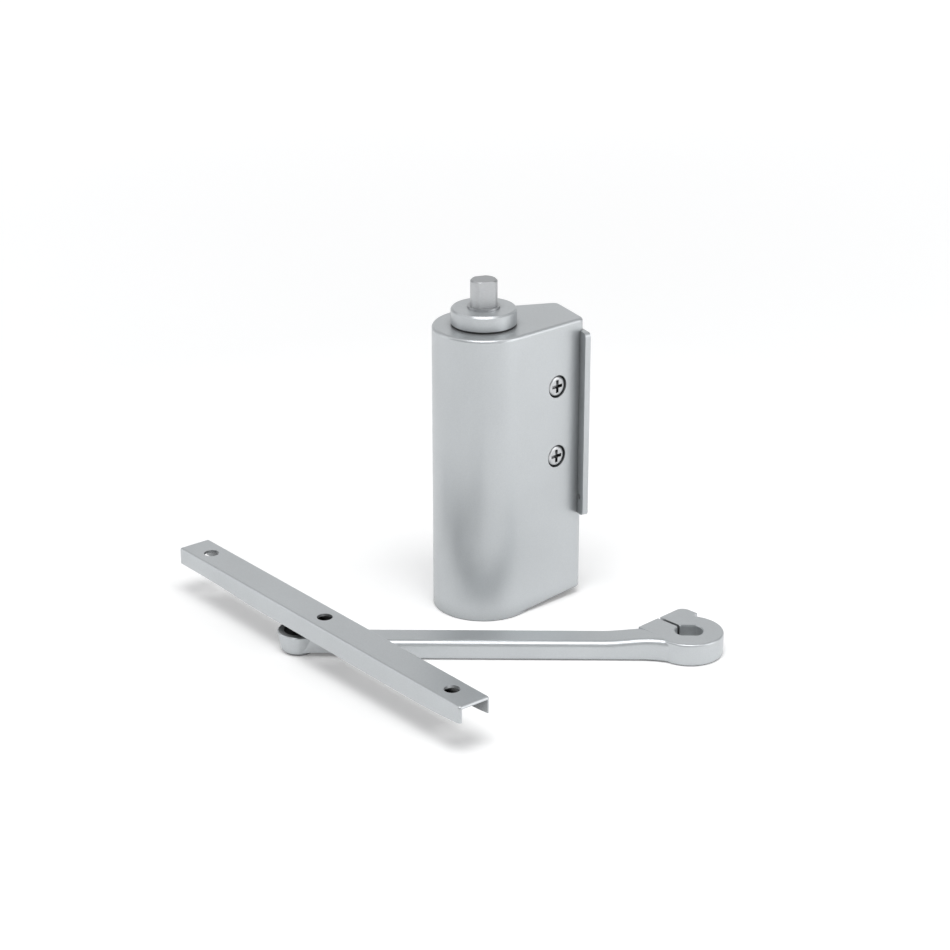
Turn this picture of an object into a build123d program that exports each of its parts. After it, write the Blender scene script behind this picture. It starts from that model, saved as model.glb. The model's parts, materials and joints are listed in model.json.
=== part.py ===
from build123d import *
import math
import os

# Round hydraulic door closer with its clamp-on arm and guide rail, laid out as a kit.
# All lengths are in millimetres.  The spindle's axis is the Z axis, the foot stands on Z = 0
# and +X runs along the wing towards the mounting plate.

# --- casing -------------------------------------------------------------------------------
BODY_R = 24.0
WING_END_X = 45.8
WING_HALF_W = 13.2
WING_CORNER_R = 3.6
WING_FOOT_X = 15.4        # the wing's underside leaves the round part here
WING_FOOT_Z = 0.9
WING_FOOT_RISE = 4.5      # degrees, the underside rises towards the bracket
WING_FOOT_R = 1.6
FOOT_EDGE = 0.4
CASING_TOP = 140.0
TOP_EDGE_R = 1.5
CHAMBER_R = 20.0
CHAMBER_TOP = 120.0
HEAD_BORE_R = 13.5
FIXED_GAP = 0.05          # between two pieces of the same body
RUN_GAP = 0.05            # radial clearance of a running fit
SEAT_GAP = 0.02           # clearance of a piece pressed or snapped into its seat
END_GAP = 0.5             # play at the end of a blind hole or slot
OVERLAP = 0.1             # how far two solids reach into each other before they are joined
THROUGH = 1.0             # how far a cutter runs past the face it opens
WIDE = 60.0               # half the width of a cutter that takes everything to one side

# --- mounting bracket and the two body screws ---------------------------------------------
PLATE_T = 2.8
PLATE_W = 38.4
PLATE_Z = (42.8, 134.2)
PLATE_CORNER_R = 2.0
TONGUE_T = 5.0
TONGUE_X0 = 23.6
TONGUE_Z = (62.0, 122.0)
FIXING_R = 2.75
FIXING_HEAD_R = 4.9
FIXING_SINK = 2.0
FIXING_Z = (48.5, 128.5)
PILOT_R = 1.3
PILOT_YZ = (-15.6, 51.6)
SCREW_FROM_CORNER = 16.7
SCREW_Z = (75.3, 110.0)
SCREW_R = 2.5
SCREW_HEAD_R = 5.1
SCREW_HEAD_H = 3.2
SCREW_HEAD_EDGE_R = 1.6
SCREW_PLAY = 0.3
RECESS_W = 1.6
RECESS_REACH = 3.1
RECESS_DEPTH = 1.9
COUNTERBORE_R = 5.5
COUNTERBORE_DEPTH = 3.4
SCREW_LENGTH = 28.0

# --- bottom cap and regulating valves ---------------------------------------------------------
PLUG_TOP = 14.0
CAP_SEAL_Z = (8.0, 10.6)
CAP_SEAL_DEPTH = 1.7
SEAL_SIDE_GAP = 0.1
SEAL_EDGE_R = 0.7
VALVE_RADIUS = 8.6
VALVE_HEAD_R = 3.5
VALVE_HEAD_Z = (1.0, 4.9)
VALVE_SHAFT_R = 2.0
VALVE_TIP_Z = 13.0
VALVE_TIP_CHAMFER = 1.2
VALVE_POCKET_TOP = 6.5
VALVE_SLOT_W = 1.0
VALVE_SLOT_DEPTH = 1.4

# --- bearing cap, seals and thrust bearing ------------------------------------------------------
COLLAR_R = 15.3
COLLAR_Z = (141.0, 148.2)
COLLAR_CHAMFER = 0.8
CAP_SKIRT_Z0 = 121.0
CAP_SKIRT_R = 11.5
SEAL_RING_R = (13.55, 15.0)
LIP_SEAL_Z = (136.0, 139.0)
LIP_SEAL_R = 10.0
RACE_R = 11.3
LOWER_RACE_Z = (124.0, 126.4)
UPPER_RACE_Z = (128.2, 130.6)
BALL_R = 1.5
BALL_PITCH_R = 9.55
BALL_COUNT = 12
CAGE_T = 0.8
RACE_PLAY = 0.4            # the fixed race clears the turning journal
CAGE_PLAY = 0.2
BALL_PLAY = 0.06

# --- spindle --------------------------------------------------------------------------------
JOURNAL_R = 7.5
STUB_TOP = 149.2
SPINDLE_TOP = 161.6
DRIVE_R = 6.3
DRIVE_FLATS = 10.0
DRIVE_CHAMFER = 0.7
DRIVE_TURN = -8.5         # degrees, direction of the flats from the X axis
THRUST_FLANGE_R = 11.2
THRUST_FLANGE_Z = (121.2, 124.0)
TWIST_Z = (56.0, 108.0)
TWIST_SIDE = 13.0
TWIST_CORNER_R = 2.5
TWIST_LEAD = 60.0         # millimetres of height per full turn
TWIST_GAP = 0.09
PILOT_JOURNAL_R = 5.0
PILOT_JOURNAL_Z0 = 44.0

# --- piston, nut, check valve, rods and spring ----------------------------------------------
PISTON_Z = (84.0, 104.0)
PISTON_RING_Z = (98.0, 101.0)
PISTON_RING_R0 = 18.65
NUT_Z0 = 92.0
NUT_R = 13.0
SPRING_POCKET_R = 14.8
SPRING_POCKET_TOP = 90.0
WEB_HOLE_R = 8.8
ROD_R = 1.4
ROD_RADIUS = 16.6
ROD_Z = (8.0, 123.5)
CHECK_RADIUS = 16.4
CHECK_BALL_R = 1.2
CHECK_SEAT_R = 0.8
CHECK_POCKET_Z0 = 94.0
CHECK_LIFT = 0.8
SPRING_WIRE_R = 1.6
SPRING_MEAN_R = 12.8
SPRING_PITCH = 8.0

# --- arm (built with the clamp bore at the origin and the eye along +X) -----------------------
ARM_CLAMP_XY = (58.58, -92.16)
ARM_TURN = 152.2
ARM_CENTRES = 179.1
CLAMP_R = 15.9
CLAMP_H = 10.8
CLAMP_EDGE_R = 1.0
CLAMP_BORE_GAP = 0.1
CLAMP_BORE_CHAMFER = 0.5
BAR_H = 9.2
BAR_START = 40.0           # the top has come down to the bar's height here
BAR_END = 148.0
BAR_BACK_TO_EYE = ((150.0, -4.2), (166.0, -5.4), (ARM_CENTRES, -7.0))
BAR_FRONT_FROM_EYE = ((ARM_CENTRES, 8.4), (164.0, 8.0), (152.0, 9.6), (140.0, 10.4))
BAR_FRONT_TO_CLAMP = ((24.0, 10.4), (15.0, 11.1), (8.5, 13.0), (2.0, 15.6))
BAR_TOP_R = 2.8
BAR_BOTTOM_R = 1.3
NECK_X0 = 150.0
NECK_LIFT = 2.0
NECK_EDGE_R = 1.9
LUG_TURN = -45.0
LUG_REACH = 18.4
LUG_STEP = 9.2
LUG_INNER_Y = (-12.9, 14.0)
LUG_CORNER_R = 4.0
LUG_SIDE = 16.3
SLIT_W = 1.6
CLAMP_SCREW_REACH = 13.2
CLAMP_SCREW_Z = 5.4
CLAMP_SCREW_R = 2.45
CLAMP_HEAD_R = 4.1
CLAMP_HEAD_H = 4.4
CLAMP_SCREW_END = 10.0
CLAMP_HEAD_PLAY = 0.3
CLAMP_HEAD_EDGE = 0.4
HEX_R = 2.4
HEX_DEPTH = 2.4
EYE_R = 9.9
EYE_FOOT_R = 8.2
EYE_H = 10.3
EYE_FOOT_EDGE = 1.3
EYE_WAIST_Z = 7.4
EYE_EDGE = 0.5
EYE_BORE_R = 6.9
EYE_FLOOR = 3.0
EYE_PIN_HOLE_R = 4.6

# --- swivel shoe --------------------------------------------------------------------------------
BUSH_TOP = 9.6
PIN_R = 2.4
PIN_Z = (0.8, 20.6)
CLIP_Z = (1.7, 2.3)
CLIP_R = 4.0
CLIP_GROOVE_R = 1.9
CLIP_MOUTH = 1.6
PIN_CHAMFER = 0.3
NECK_R = 3.3
SHOE_LENGTH = 22.0
SHOE_H = 5.0
SHOE_CORNER_R = 4.0
SHOE_CHAMFER = 0.5

# --- guide rail (built with the swivel pin at the origin, long way along X) -----------------------
RAIL_TURN = 102.35
RAIL_TOP = 24.0
RAIL_W = 16.6
RAIL_L = 213.5
RAIL_NEAR = -127.4
RAIL_T = 1.3
RAIL_SLOT_W = 9.0
RAIL_EDGE_R = 1.1
RAIL_HOLE_R = 3.6
RAIL_CORNER_R = 1.2
RAIL_LIP_GAP = 22.0          # the lips stop short of both ends
RAIL_HOLES = (15.3, 106.75, 198.2)
RAIL_DEEP = 9.3
NEAR_RUNUP = ((0.0, 7.7), (8.0, 8.4), (17.0, 8.9), (30.0, 9.25), (45.0, 9.3))
FAR_RUNUP = ((146.0, 9.3), (161.0, 8.95), (175.0, 8.4), (189.0, 8.1), (RAIL_L, 8.0))


def tube(outer, inner, z0, z1):
    """A ring-shaped solid about the Z axis."""
    solid = Pos(0, 0, z0) * extrude(Circle(outer), z1 - z0)
    return solid - Pos(0, 0, z0 - 1) * extrude(Circle(inner), z1 - z0 + 2)


def rod(radius, z0, z1):
    """A solid cylinder about the Z axis."""
    return Pos(0, 0, z0) * extrude(Circle(radius), z1 - z0)


def block(x, y, z):
    """A box given by its low and high limits on each axis."""
    size = (x[1] - x[0], y[1] - y[0], z[1] - z[0])
    centre = ((x[0] + x[1]) / 2, (y[0] + y[1]) / 2, (z[0] + z[1]) / 2)
    return Pos(*centre) * Box(*size)


def polar(radius, degrees):
    """A point at a radius and an angle from the X axis."""
    a = math.radians(degrees)
    return (radius * math.cos(a), radius * math.sin(a))


def wing_angle():
    """Half the angle between the two flats, which are tangent to the round body."""
    reach = math.hypot(WING_END_X, WING_HALF_W)
    return math.degrees(math.asin(BODY_R / reach)) - math.degrees(math.atan2(WING_HALF_W, WING_END_X))


def body_outline():
    """Teardrop outline: a circle drawn out into a wing by two tangent flats."""
    tangent = polar(BODY_R, 90 - wing_angle())
    wing = Polygon(
        (0, 0), (tangent[0], -tangent[1]), (WING_END_X, -WING_HALF_W), (WING_END_X, WING_HALF_W), tangent,
        align=None,
    )
    corners = wing.vertices().sort_by(Axis.X)[-2:]
    return Circle(BODY_R) + fillet(corners, WING_CORNER_R)


def screw_frame(z):
    """Place on the front flat where a body screw enters, with Z pointing out of the flat."""
    b = math.radians(wing_angle())
    x = WING_END_X - SCREW_FROM_CORNER * math.cos(b)
    y = -WING_HALF_W - SCREW_FROM_CORNER * math.sin(b)
    return Location(Plane((x, y, z), x_dir=(0, 0, 1), z_dir=(math.sin(b), -math.cos(b), 0)))


def round_on(place, radius, z0, z1):
    """A cylinder along the Z axis of a placed frame."""
    return place * rod(radius, z0, z1)


def body_shell():
    """The casing without its bores: the round part stands on the floor and the wing's underside rises."""
    solid = extrude(body_outline(), CASING_TOP)
    under = block((-WIDE, WIDE), (-WIDE, WIDE), (-WIDE, 0))
    solid -= Pos(WING_FOOT_X, 0, WING_FOOT_Z) * Rot(0, -WING_FOOT_RISE, 0) * under
    low_end = solid.faces().filter_by(Axis.X).sort_by(Axis.X)[-1].edges().sort_by(Axis.Z)[0]
    solid = fillet(low_end, WING_FOOT_R)
    solid = fillet(solid.faces().sort_by(Axis.Z)[-1].outer_wire().edges(), TOP_EDGE_R)
    return solid + chamfer(rod(BODY_R, 0, CASING_TOP / 2).edges().sort_by(Axis.Z)[0], FOOT_EDGE)


def casing():
    solid = body_shell()
    solid -= rod(CHAMBER_R, -THROUGH, CHAMBER_TOP)
    solid -= rod(HEAD_BORE_R, CHAMBER_TOP - THROUGH, CASING_TOP + THROUGH)
    for side in (-1, 1):
        solid -= Pos(side * ROD_RADIUS, 0, 0) * rod(ROD_R, CHAMBER_TOP - THROUGH, ROD_Z[1] + END_GAP)
    plate_x = WING_END_X - PLATE_T
    solid -= block((plate_x - FIXED_GAP, WING_END_X + THROUGH), (-PLATE_W, PLATE_W),
                   (PLATE_Z[0] - FIXED_GAP, PLATE_Z[1] + FIXED_GAP))
    half_slot = TONGUE_T / 2 + FIXED_GAP
    solid -= block((TONGUE_X0 - END_GAP, WING_END_X), (-half_slot, half_slot),
                   (TONGUE_Z[0] - END_GAP, TONGUE_Z[1] + END_GAP))
    for z in SCREW_Z:
        place = screw_frame(z)
        solid -= round_on(place, COUNTERBORE_R, -COUNTERBORE_DEPTH, WING_CORNER_R)
        solid -= round_on(place, SCREW_R + FIXED_GAP, -SCREW_LENGTH - COUNTERBORE_DEPTH, 0)
    return solid


def mounting_bracket():
    plate = block((WING_END_X - PLATE_T, WING_END_X), (-PLATE_W / 2, PLATE_W / 2), PLATE_Z)
    plate = fillet(plate.edges().filter_by(Axis.X), PLATE_CORNER_R)
    tongue = block((TONGUE_X0, WING_END_X - PLATE_T), (-TONGUE_T / 2, TONGUE_T / 2), TONGUE_Z)
    solid = plate + tongue
    for z in FIXING_Z:
        inner = Location((WING_END_X - PLATE_T, 0, z), (0, -90, 0))
        solid -= round_on(inner, FIXING_R, -PLATE_T - THROUGH, THROUGH)
        solid -= inner * Pos(0, 0, -FIXING_SINK / 2) * Cone(FIXING_R, FIXING_HEAD_R, FIXING_SINK)
    pilot = Location((WING_END_X - PLATE_T, PILOT_YZ[0], PILOT_YZ[1]), (0, -90, 0))
    solid -= round_on(pilot, PILOT_R, -PLATE_T - THROUGH, THROUGH)
    for z in SCREW_Z:
        solid -= round_on(screw_frame(z), SCREW_R + SCREW_PLAY, -WIDE, WIDE)
    return solid


def cross_recess(place, width, reach, depth):
    """Cross-shaped driver recess cut down from the Z = 0 plane of a placed frame."""
    bar = Pos(0, 0, -depth / 2) * Box(reach * 2, width, depth)
    cutter = bar + Rot(0, 0, 90) * bar
    return place * cutter


def body_screws():
    screws = []
    for z in SCREW_Z:
        place = screw_frame(z) * Pos(0, 0, -COUNTERBORE_DEPTH)
        head = fillet(rod(SCREW_HEAD_R, 0, SCREW_HEAD_H).edges().sort_by(Axis.Z)[-1], SCREW_HEAD_EDGE_R)
        screw = place * (head + rod(SCREW_R, -SCREW_LENGTH, OVERLAP))
        screw -= cross_recess(place * Pos(0, 0, SCREW_HEAD_H), RECESS_W, RECESS_REACH, RECESS_DEPTH)
        screws.append(screw)
    return screws


def valve_points():
    return [(0, VALVE_RADIUS), (0, -VALVE_RADIUS)]


def bottom_cap():
    solid = rod(CHAMBER_R - FIXED_GAP, 0, PLUG_TOP)
    solid -= tube(CHAMBER_R + THROUGH, CHAMBER_R - CAP_SEAL_DEPTH, *CAP_SEAL_Z)
    for side in (-1, 1):
        solid -= Pos(side * ROD_RADIUS, 0, 0) * rod(ROD_R, ROD_Z[0], PLUG_TOP + THROUGH)
    for x, y in valve_points():
        solid -= Pos(x, y, 0) * rod(VALVE_HEAD_R + RUN_GAP, -THROUGH, VALVE_POCKET_TOP)
        solid -= Pos(x, y, 0) * rod(VALVE_SHAFT_R + RUN_GAP, 0, PLUG_TOP + THROUGH)
    return solid


def bottom_cap_seal():
    inner = CHAMBER_R - CAP_SEAL_DEPTH + SEAT_GAP
    ring = tube(CHAMBER_R - SEAT_GAP, inner, CAP_SEAL_Z[0] + SEAL_SIDE_GAP, CAP_SEAL_Z[1] - SEAL_SIDE_GAP)
    return fillet(ring.edges().filter_by(GeomType.CIRCLE), SEAL_EDGE_R)


def valve(x, y):
    solid = rod(VALVE_HEAD_R, *VALVE_HEAD_Z) + rod(VALVE_SHAFT_R, VALVE_HEAD_Z[1] - OVERLAP, VALVE_TIP_Z)
    solid = chamfer(solid.edges().sort_by(Axis.Z)[-1], VALVE_TIP_CHAMFER)
    slot_heights = (VALVE_HEAD_Z[0] - THROUGH, VALVE_HEAD_Z[0] + VALVE_SLOT_DEPTH)
    solid -= block((-WIDE, WIDE), (-VALVE_SLOT_W / 2, VALVE_SLOT_W / 2), slot_heights)
    return Pos(x, y, 0) * solid


def valve_seals():
    z0 = VALVE_HEAD_Z[1] + SEAL_SIDE_GAP
    ring = tube(VALVE_HEAD_R, VALVE_SHAFT_R + RUN_GAP, z0, VALVE_POCKET_TOP - RUN_GAP)
    return [Pos(x, y, 0) * ring for x, y in valve_points()]


def bearing_cap():
    collar = rod(COLLAR_R, *COLLAR_Z)
    collar = chamfer(collar.edges().sort_by(Axis.Z)[-1], COLLAR_CHAMFER)
    solid = collar + rod(HEAD_BORE_R - FIXED_GAP, CAP_SKIRT_Z0, COLLAR_Z[0] + OVERLAP)
    solid -= rod(JOURNAL_R + RUN_GAP, CAP_SKIRT_Z0 - THROUGH, COLLAR_Z[1] + THROUGH)
    solid -= rod(CAP_SKIRT_R, CAP_SKIRT_Z0 - THROUGH, UPPER_RACE_Z[1])
    solid -= rod(LIP_SEAL_R, *LIP_SEAL_Z)
    return solid


def cap_seal_ring():
    return tube(SEAL_RING_R[1], SEAL_RING_R[0], CASING_TOP, COLLAR_Z[0])


def spindle_seal():
    z0, z1 = LIP_SEAL_Z
    return tube(LIP_SEAL_R - SEAT_GAP, JOURNAL_R + RUN_GAP, z0 + SEAT_GAP, z1 - SEAT_GAP)


def ball_track():
    """Ring-shaped cutter that leaves the balls a small running clearance."""
    z = (LOWER_RACE_Z[1] + UPPER_RACE_Z[0]) / 2
    return Pos(0, 0, z) * Torus(BALL_PITCH_R, BALL_R + RUN_GAP)


def lower_race():
    return tube(RACE_R, JOURNAL_R + SEAT_GAP, *LOWER_RACE_Z) - ball_track()


def upper_race():
    return tube(RACE_R, JOURNAL_R + RACE_PLAY, *UPPER_RACE_Z) - ball_track()


def ball_places():
    z = (LOWER_RACE_Z[1] + UPPER_RACE_Z[0]) / 2
    return [Pos(*polar(BALL_PITCH_R, i * 360 / BALL_COUNT), z) for i in range(BALL_COUNT)]


def bearing_balls():
    return [place * Sphere(BALL_R) for place in ball_places()]


def bearing_cage():
    z = (LOWER_RACE_Z[1] + UPPER_RACE_Z[0]) / 2
    solid = tube(RACE_R, JOURNAL_R + CAGE_PLAY, z - CAGE_T / 2, z + CAGE_T / 2)
    for place in ball_places():
        solid -= place * Cylinder(BALL_R + BALL_PLAY, 2 * CAGE_T)
    return solid


def twist_bar(gap, z0, z1):
    """Rounded square bar with a steady right-hand twist, in phase at any height."""
    side = TWIST_SIDE + 2 * gap
    section = RectangleRounded(side, side, TWIST_CORNER_R + gap)
    start = 360.0 * (z0 - TWIST_Z[0]) / TWIST_LEAD
    turn = 360.0 * (z1 - z0) / TWIST_LEAD
    face = Pos(0, 0, z0) * Rot(0, 0, start) * section
    return Solid.extrude_linear_with_rotation(face.face(), (0, 0, z0), (0, 0, z1 - z0), turn)


def spindle():
    solid = rod(JOURNAL_R, TWIST_Z[1], STUB_TOP)
    solid += rod(THRUST_FLANGE_R, *THRUST_FLANGE_Z)
    drive = rod(DRIVE_R, STUB_TOP - OVERLAP, SPINDLE_TOP)
    drive = chamfer(drive.edges().sort_by(Axis.Z)[-1], DRIVE_CHAMFER)
    half = DRIVE_FLATS / 2
    flats = block((-WIDE, WIDE), (-half, half), (STUB_TOP - THROUGH, SPINDLE_TOP + THROUGH))
    solid += Rot(0, 0, DRIVE_TURN) * (drive & flats)
    solid += twist_bar(0, *TWIST_Z)
    solid += rod(PILOT_JOURNAL_R, PILOT_JOURNAL_Z0, TWIST_Z[0])
    return solid


def check_point():
    return Pos(0, CHECK_RADIUS, 0)


def piston():
    solid = rod(CHAMBER_R - RUN_GAP, *PISTON_Z)
    solid -= tube(CHAMBER_R + THROUGH, PISTON_RING_R0 - RUN_GAP, *PISTON_RING_Z)
    solid -= rod(SPRING_POCKET_R, PISTON_Z[0] - THROUGH, SPRING_POCKET_TOP)
    solid -= rod(NUT_R, NUT_Z0, PISTON_Z[1] + THROUGH)
    solid -= rod(WEB_HOLE_R, PISTON_Z[0], PISTON_Z[1])
    for side in (-1, 1):
        way = rod(ROD_R + RUN_GAP, PISTON_Z[0] - THROUGH, PISTON_Z[1] + THROUGH)
        solid -= Pos(side * ROD_RADIUS, 0, 0) * way
    solid -= check_point() * rod(CHECK_SEAT_R, PISTON_Z[0] - THROUGH, PISTON_Z[1])
    solid -= check_point() * rod(CHECK_BALL_R + RUN_GAP, CHECK_POCKET_Z0, PISTON_Z[1] + THROUGH)
    return solid


def piston_ring():
    z0, z1 = PISTON_RING_Z
    return tube(CHAMBER_R - SEAT_GAP, PISTON_RING_R0, z0 + SEAT_GAP, z1 - SEAT_GAP)


def drive_nut():
    bore = twist_bar(TWIST_GAP, NUT_Z0 - THROUGH, PISTON_Z[1] + THROUGH)
    return rod(NUT_R - SEAT_GAP, NUT_Z0, PISTON_Z[1]) - bore


def check_ball():
    return check_point() * Pos(0, 0, CHECK_POCKET_Z0 + CHECK_BALL_R + SEAT_GAP) * Sphere(CHECK_BALL_R)


def check_plug():
    z0 = CHECK_POCKET_Z0 + 2 * CHECK_BALL_R + CHECK_LIFT + RUN_GAP
    return check_point() * tube(CHECK_BALL_R + RUN_GAP / 2, CHECK_SEAT_R, z0, PISTON_Z[1])


def guide_rods():
    return [Pos(side * ROD_RADIUS, 0, 0) * rod(ROD_R - SEAT_GAP, *ROD_Z) for side in (-1, 1)]


def closing_spring():
    z0 = PLUG_TOP + SPRING_WIRE_R
    height = SPRING_POCKET_TOP - PLUG_TOP - 2 * SPRING_WIRE_R
    path = Pos(0, 0, z0) * Helix(SPRING_PITCH, height, SPRING_MEAN_R)
    section = Plane(path @ 0, z_dir=path % 0) * Circle(SPRING_WIRE_R)
    coil = sweep(section, path=path, is_frenet=True)
    return coil & rod(CHAMBER_R, PLUG_TOP + SEAT_GAP, SPRING_POCKET_TOP - SEAT_GAP)


def arm_place():
    return Location((ARM_CLAMP_XY[0], ARM_CLAMP_XY[1], 0), (0, 0, ARM_TURN))


def eye_xy():
    dx, dy = polar(ARM_CENTRES, ARM_TURN)
    return (ARM_CLAMP_XY[0] + dx, ARM_CLAMP_XY[1] + dy)


def arm_side():
    """Side view of the arm drawn out across it: level clamp, a dip to the bar and a rise to the eye."""
    clamp_top = CLAMP_H - SEAT_GAP
    eye_top = EYE_H - OVERLAP
    dip = Spline((CLAMP_R, clamp_top), (BAR_START, BAR_H), tangents=((1, 0), (1, 0)))
    rise = Spline((BAR_END, BAR_H), (ARM_CENTRES - EYE_R / 2, eye_top), tangents=((1, 0), (1, 0)))
    edges = [
        Line((0, 0), (0, clamp_top)),
        Line((0, clamp_top), dip @ 0),
        dip,
        Line(dip @ 1, rise @ 0),
        rise,
        Line(rise @ 1, (ARM_CENTRES, eye_top)),
        Line((ARM_CENTRES, eye_top), (ARM_CENTRES, 0)),
        Line((ARM_CENTRES, 0), (0, 0)),
    ]
    return extrude(Plane.XZ * make_face(edges), 2 * CLAMP_R, both=True)


def arm_bar():
    """Flat bar of the arm with a flare into the clamp and a waist before the eye."""
    back_end = Spline(*BAR_BACK_TO_EYE, tangents=((1, 0), (1, -0.2)))
    front_end = Spline(*BAR_FRONT_FROM_EYE, tangents=((-1, -0.15), (-1, 0)))
    front = Spline(*BAR_FRONT_TO_CLAMP, tangents=((-1, 0), (-1, 0.25)))
    clamp_back = (0, BAR_BACK_TO_EYE[0][1])
    edges = [
        Line(clamp_back, back_end @ 0),
        back_end,
        Line(back_end @ 1, front_end @ 0),
        front_end,
        Line(front_end @ 1, front @ 0),
        front,
        Line(front @ 1, clamp_back),
    ]
    solid = extrude(make_face(edges), CLAMP_H + THROUGH) & arm_side()
    solid = fillet(solid.edges().filter_by(lambda edge: edge.center().Z > BAR_H - BAR_TOP_R / 2), BAR_TOP_R)
    solid = fillet(solid.faces().sort_by(Axis.Z)[0].edges(), BAR_BOTTOM_R)
    under = block((NECK_X0, ARM_CENTRES + EYE_R), (-WIDE, WIDE), (-WIDE, NECK_LIFT))
    under = fillet(under.edges().filter_by(Axis.Y).sort_by(Axis.X)[0:2].sort_by(Axis.Z)[-1], NECK_EDGE_R)
    return solid - under


def lug_place():
    return Rot(0, 0, LUG_TURN)


def clamp_lug():
    """Lug beside the slit: the inner part backs the boss and the outer part seats the screw."""
    inner = block((0, LUG_REACH), LUG_INNER_Y, (0, CLAMP_H))
    outer = block((LUG_STEP, LUG_REACH), (-LUG_SIDE, 0), (0, CLAMP_H))
    solid = inner + outer
    corner = solid.edges().filter_by(Axis.Z).sort_by(Axis.Y)[:2].sort_by(Axis.X)[-1]
    return lug_place() * fillet(corner, LUG_CORNER_R)


def clamp_screw_place():
    """Frame on the outer side of the lug with Z pointing out along the clamp screw."""
    flat = Plane((CLAMP_SCREW_REACH, -LUG_SIDE, CLAMP_SCREW_Z), x_dir=(1, 0, 0), z_dir=(0, -1, 0))
    return lug_place() * Location(flat)


def clamp_bore(gap):
    """Two-flat socket that fits over the drive end of the spindle."""
    round_part = rod(DRIVE_R + gap, -THROUGH, CLAMP_H + THROUGH)
    half = DRIVE_FLATS / 2 + gap
    return round_part & block((-WIDE, WIDE), (-half, half), (-WIDE, WIDE))


def arm_eye():
    profile = Polyline(
        (0, 0), (EYE_FOOT_R - EYE_FOOT_EDGE, 0), (EYE_FOOT_R, EYE_FOOT_EDGE),
        (EYE_R - EYE_EDGE, EYE_WAIST_Z),
        (EYE_R, EYE_H - EYE_EDGE), (EYE_R - EYE_EDGE, EYE_H), (0, EYE_H), (0, 0),
    )
    solid = revolve(Plane.XZ * make_face(profile), Axis.Z)
    return Pos(ARM_CENTRES, 0, 0) * solid


def arm():
    boss = fillet(rod(CLAMP_R, 0, CLAMP_H).edges().filter_by(GeomType.CIRCLE), CLAMP_EDGE_R)
    solid = boss + clamp_lug() + arm_bar() + arm_eye()
    solid -= clamp_bore(CLAMP_BORE_GAP)
    lead_in = chamfer_cone(DRIVE_R + CLAMP_BORE_GAP)
    half = DRIVE_FLATS / 2 + CLAMP_BORE_GAP + CLAMP_BORE_CHAMFER
    solid -= lead_in & block((-WIDE, WIDE), (-half, half), (0, WIDE))
    solid -= lug_place() * block((DRIVE_FLATS / 4, WIDE), (-SLIT_W / 2, SLIT_W / 2), (-WIDE, WIDE))
    place = clamp_screw_place()
    seat = -CLAMP_HEAD_H - CLAMP_HEAD_PLAY
    solid -= round_on(place, CLAMP_HEAD_R + CLAMP_HEAD_PLAY, seat, THROUGH)
    solid -= round_on(place, CLAMP_SCREW_R + RUN_GAP, -LUG_SIDE - CLAMP_SCREW_END - THROUGH, 0)
    eye = Pos(ARM_CENTRES, 0, 0)
    solid -= eye * rod(EYE_BORE_R, EYE_FLOOR, EYE_H + THROUGH)
    solid -= eye * rod(EYE_PIN_HOLE_R, -THROUGH, EYE_FLOOR + THROUGH)
    return arm_place() * solid


def chamfer_cone(radius):
    """Widening cone at the top of the clamp bore."""
    c = CLAMP_BORE_CHAMFER
    return Pos(0, 0, CLAMP_H - c / 2 + SEAT_GAP) * Cone(radius, radius + c + SEAT_GAP, c + 2 * SEAT_GAP)


def clamp_screw():
    head = rod(CLAMP_HEAD_R, -CLAMP_HEAD_H - OVERLAP, -CLAMP_HEAD_PLAY)
    head = chamfer(head.edges().sort_by(Axis.Z)[-1], CLAMP_HEAD_EDGE)
    solid = head + rod(CLAMP_SCREW_R, -LUG_SIDE - CLAMP_SCREW_END, -CLAMP_HEAD_H)
    solid -= Pos(0, 0, -CLAMP_HEAD_PLAY - HEX_DEPTH) * extrude(RegularPolygon(HEX_R, 6), 2 * HEX_DEPTH)
    return arm_place() * clamp_screw_place() * solid


def eye_place():
    x, y = eye_xy()
    return Pos(x, y, 0)


def eye_bush():
    return eye_place() * tube(EYE_BORE_R - SEAT_GAP, PIN_R + RUN_GAP, EYE_FLOOR, BUSH_TOP)


def swivel_pin():
    pin = rod(PIN_R, *PIN_Z)
    pin -= tube(PIN_R + THROUGH, CLIP_GROOVE_R, *CLIP_Z)
    return eye_place() * chamfer(pin.edges().sort_by(Axis.Z)[0], PIN_CHAMFER)


def pin_clip():
    ring = tube(CLIP_R, CLIP_GROOVE_R + SEAT_GAP, CLIP_Z[0] + SEAT_GAP, CLIP_Z[1] - SEAT_GAP)
    return eye_place() * (ring - block((-CLIP_MOUTH / 2, CLIP_MOUTH / 2), (0, WIDE), (0, WIDE)))


def rail_place():
    x, y = eye_xy()
    return Location((x, y, 0), (0, 0, RAIL_TURN))


def glide_shoe():
    top = RAIL_TOP - RAIL_T - RUN_GAP
    width = RAIL_W - 2 * RAIL_T - 2 * RUN_GAP
    head = Pos(0, 0, top - SHOE_H) * extrude(RectangleRounded(SHOE_LENGTH, width, SHOE_CORNER_R), SHOE_H)
    head = chamfer(head.faces().sort_by(Axis.Z)[0].edges(), SHOE_CHAMFER)
    solid = head + rod(NECK_R, BUSH_TOP + RUN_GAP, top - SHOE_H + OVERLAP)
    solid -= rod(PIN_R, 0, PIN_Z[1] + SEAT_GAP)
    return rail_place() * solid


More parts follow.
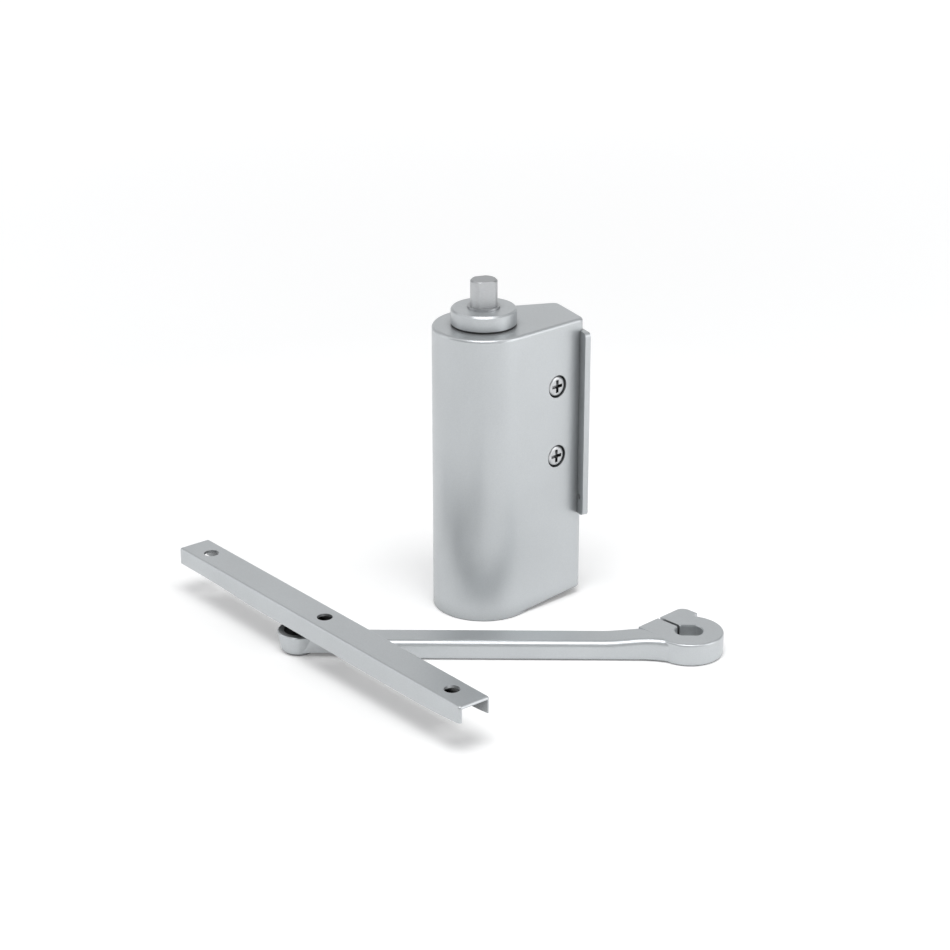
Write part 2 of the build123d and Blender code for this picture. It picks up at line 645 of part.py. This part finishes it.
def rail_side(lift):
    """Side view of the rail, as a face in the XZ plane.  lift thins it from above and below."""
    top = RAIL_TOP - lift
    near = [(RAIL_NEAR + s, RAIL_TOP - d + lift) for s, d in NEAR_RUNUP]
    far = [(RAIL_NEAR + s, RAIL_TOP - d + lift) for s, d in FAR_RUNUP]
    near_curve = Spline(*near, tangents=((1, -0.12), (1, 0)))
    far_curve = Spline(*far, tangents=((1, 0), (1, 0)))
    edges = [
        near_curve,
        Line(near_curve @ 1, far_curve @ 0),
        far_curve,
        Line(far_curve @ 1, (far[-1][0], top)),
        Line((far[-1][0], top), (near[0][0], top)),
        Line((near[0][0], top), near_curve @ 0),
    ]
    return Plane.XZ * make_face(edges)


def guide_rail():
    outer = extrude(rail_side(0), RAIL_W / 2, both=True)
    top_edges = outer.faces().sort_by(Axis.Z)[-1].edges().filter_by(Axis.X)
    outer = fillet(top_edges, RAIL_EDGE_R)
    uprights = outer.edges().filter_by(Axis.Z)
    outer = fillet(uprights, RAIL_CORNER_R)
    cavity = extrude(rail_side(RAIL_T), RAIL_W / 2 - RAIL_T, both=True)
    ends = [cavity.faces().sort_by(Axis.X)[0], cavity.faces().sort_by(Axis.X)[-1]]
    for end in ends:
        cavity += extrude(end, THROUGH)
    solid = outer - cavity
    solid -= block((-RAIL_L, RAIL_L), (-RAIL_SLOT_W / 2, RAIL_SLOT_W / 2), (0, RAIL_TOP - RAIL_DEEP / 2))
    inner_half = RAIL_W / 2 - RAIL_T
    for end in (RAIL_NEAR, RAIL_NEAR + RAIL_L):
        lips = (end - RAIL_LIP_GAP, end + RAIL_LIP_GAP)
        solid -= block(lips, (-inner_half, inner_half), (0, RAIL_TOP - RAIL_T))
    for s in RAIL_HOLES:
        solid -= Pos(RAIL_NEAR + s, 0, 0) * rod(RAIL_HOLE_R, RAIL_TOP - RAIL_T - THROUGH, RAIL_TOP + THROUGH)
    return rail_place() * solid


PIECES = {
    "casing": casing,
    "mounting_bracket": mounting_bracket,
    "body_screws": body_screws,
    "bottom_cap": bottom_cap,
    "bottom_cap_seal": bottom_cap_seal,
    "closing_valve": lambda: valve(*valve_points()[0]),
    "latching_valve": lambda: valve(*valve_points()[1]),
    "valve_seals": valve_seals,
    "bearing_cap": bearing_cap,
    "cap_seal_ring": cap_seal_ring,
    "spindle_seal": spindle_seal,
    "lower_race": lower_race,
    "upper_race": upper_race,
    "bearing_balls": bearing_balls,
    "bearing_cage": bearing_cage,
    "spindle": spindle,
    "piston": piston,
    "piston_ring": piston_ring,
    "drive_nut": drive_nut,
    "check_ball": check_ball,
    "check_plug": check_plug,
    "guide_rods": guide_rods,
    "closing_spring": closing_spring,
    "arm": arm,
    "clamp_screw": clamp_screw,
    "eye_bush": eye_bush,
    "swivel_pin": swivel_pin,
    "pin_clip": pin_clip,
    "glide_shoe": glide_shoe,
    "guide_rail": guide_rail,
}


def write_piece(name, make):
    shape = make()
    if isinstance(shape, list):
        shape = Compound(children=shape)
    shape.label = name
    export_step(shape, os.path.join("parts", name + ".step"))


os.makedirs("parts", exist_ok=True)
for piece_name, maker in PIECES.items():
    write_piece(piece_name, maker)
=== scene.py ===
import json
import math

import bpy
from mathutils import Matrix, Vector


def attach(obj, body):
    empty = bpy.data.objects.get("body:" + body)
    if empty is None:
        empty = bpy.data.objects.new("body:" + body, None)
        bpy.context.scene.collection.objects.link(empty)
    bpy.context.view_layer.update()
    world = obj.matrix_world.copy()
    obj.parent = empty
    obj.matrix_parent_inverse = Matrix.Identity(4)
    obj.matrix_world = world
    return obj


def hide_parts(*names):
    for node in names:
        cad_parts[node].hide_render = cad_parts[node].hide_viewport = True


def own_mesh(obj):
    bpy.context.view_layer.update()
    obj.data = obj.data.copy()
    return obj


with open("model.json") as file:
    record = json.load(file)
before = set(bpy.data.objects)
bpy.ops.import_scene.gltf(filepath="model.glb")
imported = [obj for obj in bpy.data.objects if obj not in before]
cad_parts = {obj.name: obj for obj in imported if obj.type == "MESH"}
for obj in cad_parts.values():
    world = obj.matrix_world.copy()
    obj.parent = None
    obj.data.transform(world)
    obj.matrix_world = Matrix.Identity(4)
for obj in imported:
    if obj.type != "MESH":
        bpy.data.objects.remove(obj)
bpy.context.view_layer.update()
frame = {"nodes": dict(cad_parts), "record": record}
nodes = frame["nodes"]

# --- camera: half a metre up and a metre away, turned towards the wing's flat ------------------
CAMERA_XYZ = (-0.4897, -0.9493, 0.5024)
CAMERA_PITCH = 22.27
CAMERA_HEADING = -27.07
CAMERA_LENS = 92.86

# --- surface detail sizes, in cycles per metre -----------------------------------------------
FLAKE_SCALE = 2600.0
GRAIN_SCALE = 900.0
PEEL_SCALE = 420.0
CLOUD_SCALE = 24.0
PAINT_METALLIC = 0.72
PAINT_TINT = (0.96, 1.0, 1.025)

# --- painted shade in recesses: reach in metres, tone left at the bottom, and the occlusion it runs between ---
BODY_RECESS_SHADE = (0.016, 0.12, 0.0, 0.72)
ARM_RECESS_SHADE = (0.010, 0.08, 0.05, 0.55)
RAIL_RECESS_SHADE = (0.030, 0.06, 0.28, 0.70)
SCREW_RECESS_SHADE = (0.003, 0.05, 0.1, 0.75)
SMOOTH_ANGLE = math.radians(32)

# --- bumps: strength, and height in metres -------------------------------------------------------
PEEL_BUMP = (0.05, 0.0004)
FLAKE_BUMP = (0.045, 0.0001)
METAL_BUMP_HEIGHT = 0.00008
GRAIN_BUMP_HEIGHT = 0.0001

# --- silver paint: shares of flake and cloud in the tone, spread of tone, and the clear top coat ----
FLAKE_SHARE = 0.35
CLOUD_SHARE = (0.2, 0.5)
TONE_SPREAD = 0.05
COAT_WEIGHT = 0.08
COAT_ROUGHNESS = 0.3

# --- floor: half its width, and the glow that rises with distance, in metres --------------------------
FLOOR_HALF = 20.0
GLOW_REACH = (0.4, 2.0)
GLOW_STRENGTH = (0.16, 0.62)


def new_material(name):
    """An empty node material with its Principled shader and a texture coordinate node."""
    material = bpy.data.materials.new(name)
    material.use_nodes = True
    tree = material.node_tree
    shader = tree.nodes["Principled BSDF"]
    coords = tree.nodes.new("ShaderNodeTexCoord")
    return material, tree, shader, coords


def scaled(tree, coords, scale):
    """Object coordinates, stretched by a number or by three numbers."""
    mapping = tree.nodes.new("ShaderNodeMapping")
    if isinstance(scale, (int, float)):
        scale = (scale, scale, scale)
    mapping.inputs["Scale"].default_value = scale
    tree.links.new(coords.outputs["Object"], mapping.inputs["Vector"])
    return mapping.outputs["Vector"]


def noise(tree, vector, scale, detail=3.0, rough=0.55):
    """Cloudy values from 0 to 1."""
    node = tree.nodes.new("ShaderNodeTexNoise")
    node.inputs["Scale"].default_value = scale
    node.inputs["Detail"].default_value = detail
    node.inputs["Roughness"].default_value = rough
    tree.links.new(vector, node.inputs["Vector"])
    return node.outputs["Fac"]


def cells(tree, vector, scale):
    """A random colour for each small cell, for metal flake."""
    node = tree.nodes.new("ShaderNodeTexVoronoi")
    node.inputs["Scale"].default_value = scale
    tree.links.new(vector, node.inputs["Vector"])
    return node.outputs["Color"]


def spread(tree, value, low, high, out_low, out_high):
    """Maps a value from low..high to out_low..out_high, clamped."""
    node = tree.nodes.new("ShaderNodeMapRange")
    node.inputs["From Min"].default_value = low
    node.inputs["From Max"].default_value = high
    node.inputs["To Min"].default_value = out_low
    node.inputs["To Max"].default_value = out_high
    tree.links.new(value, node.inputs["Value"])
    return node.outputs["Result"]


def two_colours(tree, value, dark, light):
    """Blends from the dark colour at 0 to the light one at 1."""
    ramp = tree.nodes.new("ShaderNodeValToRGB")
    ramp.color_ramp.elements[0].color = (*dark, 1.0)
    ramp.color_ramp.elements[1].color = (*light, 1.0)
    tree.links.new(value, ramp.inputs["Fac"])
    return ramp.outputs["Color"]


def bump(tree, height, strength, distance, under=None):
    """A normal from a height, on top of another bump where one is given."""
    node = tree.nodes.new("ShaderNodeBump")
    node.inputs["Strength"].default_value = strength
    node.inputs["Distance"].default_value = distance
    tree.links.new(height, node.inputs["Height"])
    if under is not None:
        tree.links.new(under, node.inputs["Normal"])
    return node.outputs["Normal"]


def paint_recess_shade(tree, colour, distance, depth, closed=0.0, open_above=0.62):
    """Paints shade into a colour: darkens it in recesses, gaps and bores, where light doesn't reach."""
    occlusion = tree.nodes.new("ShaderNodeAmbientOcclusion")
    occlusion.samples = 8
    occlusion.inputs["Distance"].default_value = distance
    falloff = tree.nodes.new("ShaderNodeMapRange")
    falloff.inputs["From Min"].default_value = closed
    falloff.inputs["From Max"].default_value = open_above
    falloff.inputs["To Min"].default_value = depth
    falloff.inputs["To Max"].default_value = 1.0
    tree.links.new(occlusion.outputs["AO"], falloff.inputs["Value"])
    shade = tree.nodes.new("ShaderNodeVectorMath")
    shade.operation = "SCALE"
    tree.links.new(colour, shade.inputs[0])
    tree.links.new(falloff.outputs["Result"], shade.inputs["Scale"])
    return shade.outputs["Vector"]


def silver_paint(name, tone, roughness, recess_shade=BODY_RECESS_SHADE, texture=1.0):
    """Satin silver enamel: fine aluminium flake, a faint orange peel and slow cloudiness, with shade painted
    into its recesses.
    """
    material, tree, shader, coords = new_material(name)
    vector = scaled(tree, coords, 1.0)
    flakes = cells(tree, vector, FLAKE_SCALE)
    flake_value = tree.nodes.new("ShaderNodeRGBToBW")
    tree.links.new(flakes, flake_value.inputs["Color"])
    cloud = noise(tree, vector, CLOUD_SCALE, 2.0)
    mix = tree.nodes.new("ShaderNodeMath")
    mix.operation = "MULTIPLY_ADD"
    mix.inputs[1].default_value = FLAKE_SHARE
    tree.links.new(flake_value.outputs["Val"], mix.inputs[0])
    tree.links.new(spread(tree, cloud, 0.3, 0.7, *CLOUD_SHARE), mix.inputs[2])
    dark = tuple(c * (tone - TONE_SPREAD) for c in PAINT_TINT)
    light = tuple(c * (tone + TONE_SPREAD) for c in PAINT_TINT)
    colour = two_colours(tree, mix.outputs["Value"], dark, light)
    # painted shade: the enamel colour is darkened in recesses, gaps and bores
    tree.links.new(paint_recess_shade(tree, colour, *recess_shade), shader.inputs["Base Color"])
    grain = noise(tree, vector, GRAIN_SCALE, 4.0, 0.6)
    gloss = spread(tree, grain, 0.25, 0.75, roughness - 0.05, roughness + 0.06)
    tree.links.new(gloss, shader.inputs["Roughness"])
    peel_strength, peel_height = PEEL_BUMP
    flake_strength, flake_height = FLAKE_BUMP
    orange_peel = noise(tree, vector, PEEL_SCALE, 2.0)
    peel = bump(tree, orange_peel, peel_strength * texture, peel_height)
    fine = bump(tree, flake_value.outputs["Val"], flake_strength * texture, flake_height, peel)
    tree.links.new(fine, shader.inputs["Normal"])
    shader.inputs["Metallic"].default_value = PAINT_METALLIC
    shader.inputs["Specular IOR Level"].default_value = 0.5
    shader.inputs["Coat Weight"].default_value = COAT_WEIGHT
    shader.inputs["Coat Roughness"].default_value = COAT_ROUGHNESS
    return material


def metal(name, dark, light, roughness, stretch, strength=0.08, recess_shade=None):
    """Turned, drawn or plated metal with marks stretched along one direction."""
    material, tree, shader, coords = new_material(name)
    vector = scaled(tree, coords, stretch)
    marks = noise(tree, vector, 1.0, 5.0, 0.65)
    colour = two_colours(tree, marks, dark, light)
    # painted shade: where a reach is given, the metal colour is darkened in recesses
    if recess_shade is not None:
        colour = paint_recess_shade(tree, colour, *recess_shade)
    tree.links.new(colour, shader.inputs["Base Color"])
    gloss = spread(tree, marks, 0.3, 0.7, roughness - 0.06, roughness + 0.08)
    tree.links.new(gloss, shader.inputs["Roughness"])
    tree.links.new(bump(tree, marks, strength, METAL_BUMP_HEIGHT), shader.inputs["Normal"])
    shader.inputs["Metallic"].default_value = 1.0
    return material


def polymer(name, dark, light, roughness, scale, strength):
    """Moulded rubber or nylon with a fine matt texture."""
    material, tree, shader, coords = new_material(name)
    vector = scaled(tree, coords, 1.0)
    grain = noise(tree, vector, scale, 4.0, 0.6)
    tree.links.new(two_colours(tree, grain, dark, light), shader.inputs["Base Color"])
    gloss = spread(tree, grain, 0.3, 0.7, roughness - 0.08, roughness + 0.08)
    tree.links.new(gloss, shader.inputs["Roughness"])
    tree.links.new(bump(tree, grain, strength, GRAIN_BUMP_HEIGHT), shader.inputs["Normal"])
    return material


def painted_slots():
    """Silver enamel on the casing, plate, arm and rail, each as bright as its part."""
    return {
        "silver_casting": silver_paint("silver_casting_paint", 0.53, 0.36),
        "silver_steel": silver_paint("silver_steel_paint", 0.52, 0.36),
        "silver_arm": silver_paint("silver_arm_paint", 0.55, 0.39, ARM_RECESS_SHADE, 0.3),
        "silver_rail": silver_paint("silver_rail_paint", 0.54, 0.36, RAIL_RECESS_SHADE),
    }


def metal_slots():
    """Bare and plated metals, of the screws and of the works inside."""
    steel = ((0.52, 0.53, 0.55), (0.74, 0.75, 0.77))
    zinc = ((0.44, 0.45, 0.46), (0.62, 0.63, 0.64))
    plating = ((0.40, 0.41, 0.42), (0.58, 0.59, 0.60))
    iron = ((0.12, 0.12, 0.125), (0.24, 0.24, 0.245))
    bronze = ((0.42, 0.25, 0.10), (0.62, 0.40, 0.18))
    return {
        # the screws get painted shade in their cross recess and in the gap round the head
        "zinc_screw": metal("zinc_plate", *zinc, 0.32, (2200, 2200, 900), recess_shade=SCREW_RECESS_SHADE),
        "brass_valve": metal("turned_brass", (0.60, 0.44, 0.17), (0.82, 0.63, 0.30), 0.28, (300, 300, 5200)),
        "bearing_steel": metal("ground_steel", *steel, 0.16, (900, 900, 4200)),
        "cage_brass": metal("stamped_brass", (0.50, 0.34, 0.12), (0.74, 0.55, 0.24), 0.34, 1400),
        "spindle_steel": metal("plated_spindle", *plating, 0.42, (600, 600, 2400), 0.12),
        "piston_iron": metal("oiled_iron", *iron, 0.42, (1200, 1200, 2600)),
        "nut_bronze": metal("machined_bronze", *bronze, 0.32, (420, 420, 5200)),
        "spring_steel": metal("spring_wire", (0.12, 0.13, 0.15), (0.26, 0.27, 0.30), 0.36, 2600),
    }


def moulded_slots():
    """Rubber seals and the nylon shoe."""
    rubber = ((0.012, 0.012, 0.013), (0.030, 0.030, 0.032))
    nylon = ((0.012, 0.012, 0.013), (0.028, 0.028, 0.030))
    return {
        "seal_rubber": polymer("seal_rubber", *rubber, 0.6, 1800.0, 0.2),
        "black_nylon": polymer("black_nylon", *nylon, 0.5, 1500.0, 0.18),
    }


def dress_cad_nodes():
    """Gives each CAD node the node material of its slot and smooth shading across its curves."""
    materials = {**painted_slots(), **metal_slots(), **moulded_slots()}
    slots = {entry["node"]: entry["material_slot"] for entry in frame["record"]["subparts"]}
    for name, obj in nodes.items():
        obj.data.materials.clear()
        obj.data.materials.append(materials[slots[name]])
        for polygon in obj.data.polygons:
            polygon.use_smooth = True
        obj.data.set_sharp_from_angle(angle=SMOOTH_ANGLE)


def add_spring():
    """The closing spring as a copy of its CAD mesh, with mesh data of its own, carried by the closer body in
    place of the original.
    """
    rest = nodes["closing_spring"]
    spring = bpy.data.objects.new("closing_spring_coil", rest.data.copy())
    spring.matrix_world = rest.matrix_world.copy()
    bpy.context.scene.collection.objects.link(spring)
    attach(spring, "closer")
    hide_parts("closing_spring")
    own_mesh(spring)


def add_area(name, xyz, target, size, power, colour=(1.0, 1.0, 1.0)):
    data = bpy.data.lights.new(name, "AREA")
    data.shape = "RECTANGLE"
    data.size, data.size_y = size
    data.energy = power
    data.color = colour
    light = bpy.data.objects.new(name, data)
    light.location = xyz
    light.rotation_euler = (Vector(target) - Vector(xyz)).to_track_quat("-Z", "Y").to_euler()
    bpy.context.scene.collection.objects.link(light)
    return light


def around(heading, distance, height):
    """A point round the object: heading 0 is towards the camera, positive to the camera's right."""
    a = math.radians(CAMERA_HEADING + heading)
    return (distance * math.sin(a), -distance * math.cos(a), height)


def add_lights():
    """Two soft boxes at the sides, one overhead and a weak one behind; sizes in metres, power in watts."""
    centre = (0.0, -0.02, 0.07)
    add_area("side_left", around(-96, 1.3, 0.68), centre, (0.75, 1.5), 3.4)
    add_area("side_right", around(70, 1.3, 0.50), centre, (0.8, 1.3), 6.3)
    add_area("overhead", around(0, 0.5, 1.4), centre, (0.9, 0.7), 12.0)
    add_area("backdrop", around(180, 1.6, 0.75), centre, (2.4, 0.9), 3.0)


def add_world():
    """Even, soft light from all round."""
    world = bpy.data.worlds.new("studio")
    bpy.context.scene.world = world
    world.use_nodes = True
    background = world.node_tree.nodes["Background"]
    background.inputs["Color"].default_value = (0.98, 0.99, 1.0, 1.0)
    background.inputs["Strength"].default_value = 0.40


def add_floor():
    """A plain white floor that glows a little more with distance, so that it meets the white backdrop."""
    mesh = bpy.data.meshes.new("floor")
    half = FLOOR_HALF
    corners = [(-half, -half, 0), (half, -half, 0), (half, half, 0), (-half, half, 0)]
    mesh.from_pydata(corners, [], [(0, 1, 2, 3)])
    floor = bpy.data.objects.new("floor", mesh)
    bpy.context.scene.collection.objects.link(floor)
    material, tree, shader, coords = new_material("floor_white")
    vector = scaled(tree, coords, 1.0)
    tone = two_colours(tree, noise(tree, vector, 3.0, 2.0), (0.90, 0.90, 0.90), (0.92, 0.92, 0.92))
    tree.links.new(tone, shader.inputs["Base Color"])
    shader.inputs["Roughness"].default_value = 0.9
    shader.inputs["Emission Color"].default_value = (1.0, 1.0, 1.0, 1.0)
    reach = tree.nodes.new("ShaderNodeVectorMath")
    reach.operation = "LENGTH"
    tree.links.new(vector, reach.inputs[0])
    glow = spread(tree, reach.outputs["Value"], *GLOW_REACH, *GLOW_STRENGTH)
    tree.links.new(glow, shader.inputs["Emission Strength"])
    floor.data.materials.append(material)


def add_camera():
    data = bpy.data.cameras.new("camera")
    data.lens = CAMERA_LENS
    data.sensor_width = 36.0
    data.clip_start = 0.05
    data.clip_end = 100.0
    camera = bpy.data.objects.new("camera", data)
    camera.location = CAMERA_XYZ
    camera.rotation_euler = (math.radians(90.0 - CAMERA_PITCH), 0.0, math.radians(CAMERA_HEADING))
    bpy.context.scene.collection.objects.link(camera)
    bpy.context.scene.camera = camera


dress_cad_nodes()
add_spring()
add_world()
add_lights()
add_floor()
add_camera()
bpy.context.scene.view_settings.view_transform = "Standard"
